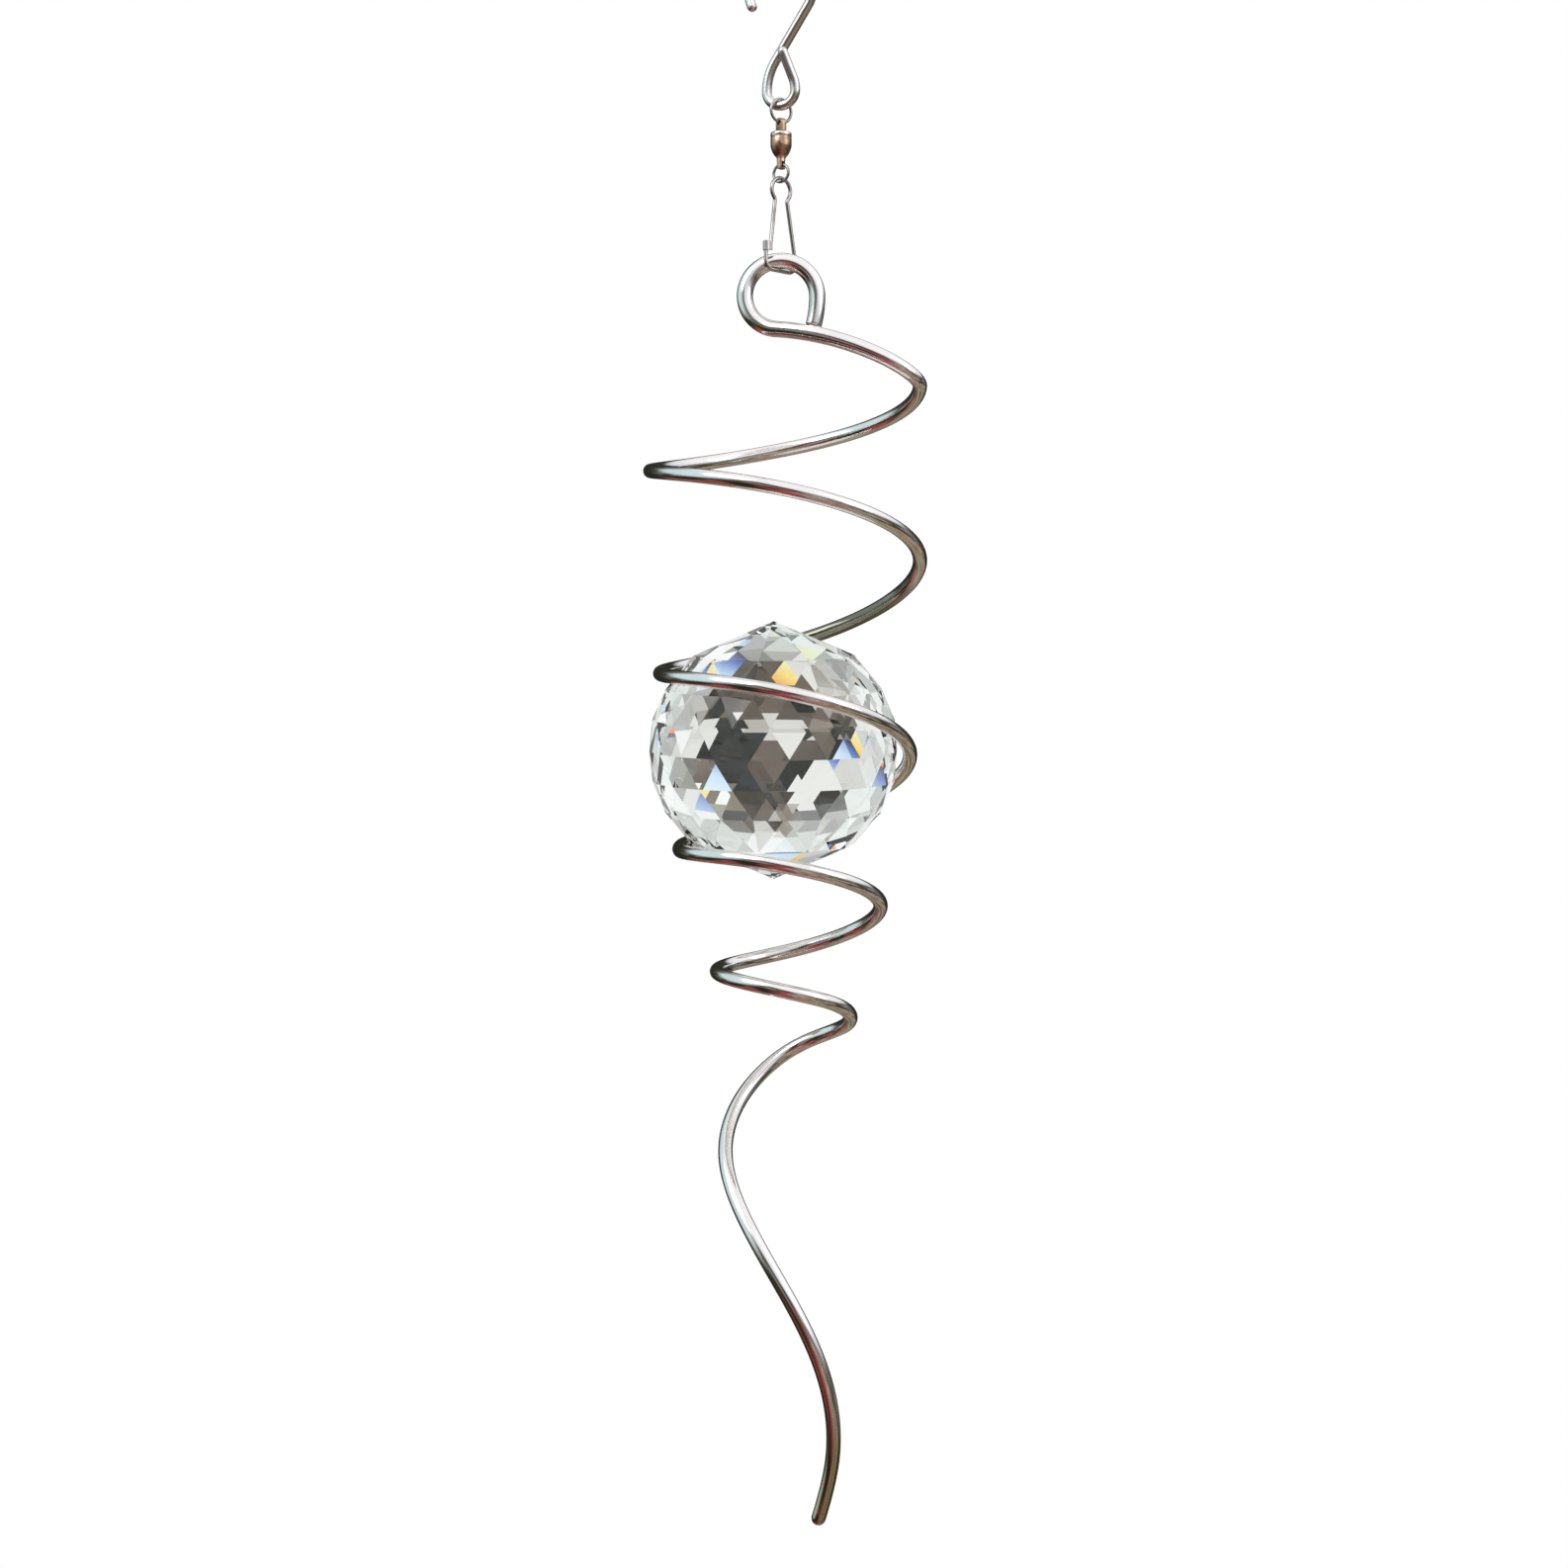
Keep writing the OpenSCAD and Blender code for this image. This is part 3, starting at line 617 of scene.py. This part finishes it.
def snap_catch():
    """A strip folded round the upright into a channel that the spring leg rests in."""
    thick, half, mouth, off_wire = 0.28, 0.64, 0.92, 0.22
    middle = [(mouth, half)] + [(x, half) for x in (0.6, 0.3, 0.0)]
    middle += [(-half * sind(a), half * cosd(a)) for a in range(15, 180, 15)]
    middle += [(x, -half) for x in (0.0, 0.3, 0.6)] + [(mouth, -half)]
    count = len(middle)
    rows = []
    for z in (-0.95, -0.90, -0.45, 0.0, 0.45, 0.90, 0.95):
        pinch = 0.05 if abs(z) > 0.92 else 0.0
        outer, inner = [], []
        for i, (u, v) in enumerate(middle):
            a, b = middle[max(i - 1, 0)], middle[min(i + 1, count - 1)]
            run = math.dist(a, b)
            nu, nv = (b[1] - a[1]) / run, -(b[0] - a[0]) / run
            outer.append((u - nu * (thick / 2 - pinch), v - nv * (thick / 2 - pinch), z))
            inner.append((u + nu * (thick / 2 - pinch), v + nv * (thick / 2 - pinch), z))
        rows.append(outer + inner[::-1])
    turn = Matrix.Rotation(math.radians(SNAP_YAW), 3, "Z")
    verts = [turn @ Vector((u - TOE_U + off_wire, v, SNAP_Z + CATCH_Z + z))
             for row in rows for u, v, z in row]
    wide = 2 * count
    faces = []
    for r in range(len(rows) - 1):
        for k in range(wide):
            n = (k + 1) % wide
            faces.append((r * wide + k, r * wide + n, (r + 1) * wide + n, (r + 1) * wide + k))
    for r in (0, len(rows) - 1):
        for k in range(count - 1):
            faces.append((r * wide + k, r * wide + k + 1, r * wide + wide - 2 - k, r * wide + wide - 1 - k))
    obj = add_mesh("snap_catch", verts, faces, snap_steel)
    finish_mesh(obj, sharp=40, uv_layer="along_wire")
    return obj


catch = snap_catch()
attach(catch, "snap")


# ---------------------------------------------------------------- stage, light and camera

# The camera stands back from the hanging line and below the ball, and looks up a little
CAMERA_BACK, CAMERA_DROP, CAMERA_TILT, LENS = 1450.0, 233.2, 8.9, 168.696
FLOOR_Z, FLOOR_HALF = -640, 4000


def pale_floor():
    """A plain floor that neither shines in the metal nor shows through the glass."""
    mat, nodes, links, shader = node_material("stage_floor")
    place = nodes.new("ShaderNodeTexCoord")
    colour = ramp(nodes, links, noise(nodes, links, place.outputs["Object"], 2.0),
                  [(0.3, (0.80, 0.79, 0.77)), (0.7, (0.84, 0.83, 0.81))])
    links.new(colour, shader.inputs["Base Color"])
    shader.inputs["Roughness"].default_value = 0.8
    corners = [(x * FLOOR_HALF, y * FLOOR_HALF, FLOOR_Z) for x, y in ((-1, -1), (1, -1), (1, 1), (-1, 1))]
    obj = add_mesh("floor", corners, [(0, 1, 2, 3)], mat, smooth=False)
    obj.visible_glossy = False
    obj.visible_transmission = False
    return obj


floor = pale_floor()


def fade(low, high):
    """Stops of a ramp that goes from nothing to everything."""
    return [(low, (0, 0, 0)), (high, (1, 1, 1))]


def mirrored_sky(nodes, links, coords, facing):
    """What the metal mirrors: a white dome above, leaning to the front and the right, a dark band at eye
    level that is darkest at the back, and ground that runs from dark olive at the left through red and
    grey in the middle to beige at the right, with straw below the back."""
    split = nodes.new("ShaderNodeSeparateXYZ")
    links.new(coords, split.inputs["Vector"])
    height = map_range(nodes, links, split.outputs["Z"], -1, 1, 0, 1)
    stir = noise(nodes, links, coords, 2.3, 3, 0.55)
    side = add(nodes, links, map_range(nodes, links, facing(1, 0, 0), -1, 1, 0, 1),
               map_range(nodes, links, stir, 0.3, 0.7, -0.32, 0.32))
    ground = ramp(nodes, links, side,
                  [(0.14, (0.020, 0.023, 0.012)), (0.28, (0.080, 0.055, 0.035)),
                   (0.35, (0.50, 0.060, 0.065)), (0.43, (0.34, 0.070, 0.080)), (0.51, (0.12, 0.090, 0.11)),
                   (0.58, (0.58, 0.52, 0.42)), (0.64, (0.15, 0.085, 0.080)), (0.72, (0.36, 0.22, 0.17)),
                   (0.80, (0.42, 0.40, 0.28)), (0.90, (0.045, 0.045, 0.025))])
    straw = ramp(nodes, links, noise(nodes, links, coords, 4.2, 2, 0.5),
                 [(0.38, (0.05, 0.05, 0.025)), (0.48, (0.40, 0.37, 0.27)), (0.56, (0.30, 0.26, 0.18)),
                  (0.64, (0.13, 0.075, 0.055))])
    under = ramp(nodes, links, facing(0, 0.72, -0.69), fade(0.82, 0.94))
    ground = mix(nodes, links, under, ground, straw)
    level = ramp(nodes, links, noise(nodes, links, coords, 2.6, 1, 0.5),
                 [(0.36, (0.018, 0.020, 0.012)), (0.46, (0.11, 0.10, 0.075)), (0.53, (0.42, 0.40, 0.36)),
                  (0.58, (0.13, 0.11, 0.125)), (0.72, (0.30, 0.27, 0.28))])
    back = ramp(nodes, links, facing(0, 1, 0), fade(0.35, 0.80))
    level = mix(nodes, links, back, level, (0.020, 0.022, 0.014))
    band = ramp(nodes, links, height, fade(0.33, 0.43))
    overhead = facing(0.35, -0.30, 0.885)
    dome = ramp(nodes, links, overhead,
                [(0.44, (0.40, 0.42, 0.46)), (0.56, (0.84, 0.86, 0.92)), (0.80, (0.99, 0.99, 1.0))])
    sky = ramp(nodes, links, overhead, fade(0.38, 0.46))
    flank = ramp(nodes, links, facing(-0.86, -0.14, 0.49), fade(0.70, 0.86))
    seen = mix(nodes, links, sky, mix(nodes, links, band, ground, level), dome)
    return mix(nodes, links, flank, seen, (0.62, 0.78, 0.82))


def glass_panels(nodes, links, coords, facing):
    """What the glass reflects, which is pale, and what it bends: the same panels with dark ones in the
    middle of the back, and slips of rainbow between them."""
    patches = nodes.new("ShaderNodeTexVoronoi")
    patches.inputs["Scale"].default_value = 5.2
    links.new(coords, patches.inputs["Vector"])
    tone = nodes.new("ShaderNodeSeparateColor")
    links.new(patches.outputs["Color"], tone.inputs["Color"])
    drift = map_range(nodes, links, noise(nodes, links, coords, 34, 2, 0.5), 0.3, 0.7, -0.16, 0.16)
    dark = ramp(nodes, links, add(nodes, links, tone.outputs["Red"], drift),
                [(0.14, (0.008, 0.009, 0.007)), (0.24, (0.085, 0.068, 0.052)), (0.40, (0.155, 0.125, 0.098)),
                 (0.50, (0.27, 0.235, 0.19)), (0.58, (0.55, 0.53, 0.50)), (0.85, (0.86, 0.86, 0.83))])
    pale = ramp(nodes, links, tone.outputs["Green"],
                [(0.10, (0.42, 0.43, 0.41)), (0.30, (0.64, 0.67, 0.64)), (0.55, (0.82, 0.87, 0.84)),
                 (0.8, (0.98, 1.0, 0.99))])
    core = ramp(nodes, links, facing(0, cosd(6), sind(6)), fade(0.74, 0.90))
    run = nodes.new("ShaderNodeMath")
    run.operation = "FRACT"
    links.new(facing(34, 13, 61), run.inputs[0])
    rainbow = ramp(nodes, links, run.outputs[0],
                   [(0.0, (0.90, 0.22, 0.05)), (0.18, (1.0, 0.78, 0.25)), (0.36, (0.86, 0.97, 0.70)),
                    (0.50, (0.97, 1.0, 1.0)), (0.74, (0.62, 0.82, 1.0)), (0.90, (0.16, 0.25, 0.62)),
                    (1.0, (0.03, 0.03, 0.06))])
    slips = ramp(nodes, links, tone.outputs["Blue"], fade(0.92, 0.93))
    return pale, mix(nodes, links, slips, mix(nodes, links, core, pale, dark), rainbow)


def studio_world():
    """White to the camera and plain pale light on everything, with surroundings of their own for the
    metal to mirror and the cut glass to reflect and bend."""
    world = bpy.data.worlds.new("studio")
    world.use_nodes = True
    bpy.context.scene.world = world
    nodes, links = world.node_tree.nodes, world.node_tree.links
    for node in list(nodes):
        nodes.remove(node)
    coords = nodes.new("ShaderNodeTexCoord").outputs["Generated"]

    def facing(x, y, z):
        node = nodes.new("ShaderNodeVectorMath")
        node.operation = "DOT_PRODUCT"
        node.inputs[1].default_value = (x, y, z)
        links.new(coords, node.inputs[0])
        return node.outputs["Value"]

    def background(colour, strength):
        node = nodes.new("ShaderNodeBackground")
        if isinstance(colour, tuple):
            node.inputs["Color"].default_value = (*colour, 1)
        else:
            links.new(colour, node.inputs["Color"])
        node.inputs["Strength"].default_value = strength
        return node.outputs["Background"]

    mirrored = mirrored_sky(nodes, links, coords, facing)
    reflected, bent = glass_panels(nodes, links, coords, facing)
    rays = nodes.new("ShaderNodeLightPath")
    shown = background((0.82, 0.83, 0.84), 1.0)
    # Only the polished glass, which has no roughness at all, sends out singular rays
    for flag, light in (("Is Glossy Ray", background(mirrored, 1.05)),
                        ("Is Singular Ray", background(reflected, 0.95)),
                        ("Is Transmission Ray", background(bent, 1.0)),
                        ("Is Camera Ray", background((1, 1, 1), 1.0))):
        node = nodes.new("ShaderNodeMixShader")
        links.new(rays.outputs[flag], node.inputs["Fac"])
        links.new(shown, node.inputs[1])
        links.new(light, node.inputs[2])
        shown = node.outputs["Shader"]
    links.new(shown, nodes.new("ShaderNodeOutputWorld").inputs["Surface"])


studio_world()


def softbox(name, at, aim, size, power, colour=(1, 1, 1)):
    light = bpy.data.lights.new(name, "AREA")
    light.shape = "RECTANGLE"
    light.size, light.size_y = size
    light.energy = power
    light.color = colour
    obj = bpy.data.objects.new(name, light)
    obj.location = at
    obj.rotation_euler = (Vector(aim) - Vector(at)).to_track_quat("-Z", "Y").to_euler()
    obj.visible_transmission = False
    bpy.context.scene.collection.objects.link(obj)


BALL_HEIGHT = (0, 0, -0.16)
softbox("key", (-1.3, -1.2, 1.3), BALL_HEIGHT, (1.4, 1.4), 20)
softbox("fill", (1.5, -0.9, 0.7), BALL_HEIGHT, (0.8, 1.4), 5, (1.0, 0.98, 0.95))

camera_data = bpy.data.cameras.new("camera")
camera = bpy.data.objects.new("camera", camera_data)
bpy.context.scene.collection.objects.link(camera)
camera.location = (0.0006, -CAMERA_BACK * MM, (COIL_Z - CAMERA_DROP) * MM)
camera.rotation_euler = (math.radians(90 + CAMERA_TILT), 0, 0)
camera_data.sensor_fit = "HORIZONTAL"
camera_data.sensor_width = 36.0
camera_data.lens = LENS
camera_data.clip_start = 0.01
camera_data.clip_end = 50
bpy.context.scene.camera = camera
bpy.context.scene.view_settings.view_transform = "Standard"
